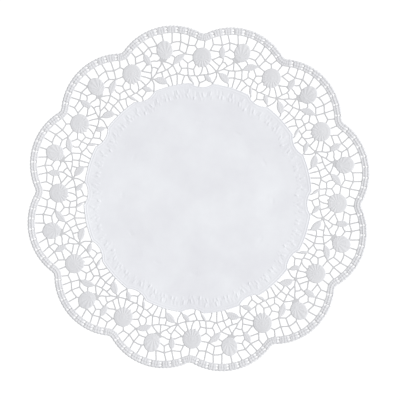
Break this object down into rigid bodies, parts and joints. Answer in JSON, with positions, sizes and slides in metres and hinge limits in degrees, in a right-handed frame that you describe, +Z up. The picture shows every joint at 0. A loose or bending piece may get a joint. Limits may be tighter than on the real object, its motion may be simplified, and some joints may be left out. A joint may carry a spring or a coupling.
{
  "type": "paper doily",
  "caption": "Round white paper doily with a plain middle, die-cut lace of rosettes, leaves and vines, and a scalloped, pierced and beaded edge; lies flat under food or ornaments",
  "frame": {"origin": "middle of the flat underside, on the surface that the sheet lies on", "axes": "+Z is up through the sheet, with the embossed face up; +Y runs out through the middle of a scallop; one scallop every 30 degrees"},
  "size_m": [0.36, 0.36, 0.0012],
  "materials": {
    "paper": "matte"
  },
  "bodies": {
    "root": {"centre_panel": "paper", "panel_border": "paper", "panel_hem": "paper", "lace_net": "paper", "rim_hem": "paper", "rim_band": "paper", "beaded_edge": "paper", "small_rosettes": "paper", "large_rosettes": "paper", "stem_leaves": "paper", "branch_leaves": "paper", "vine_leaves": "paper", "panel_leaves": "paper", "notch_leaves": "paper"}
  },
  "joints": []
}
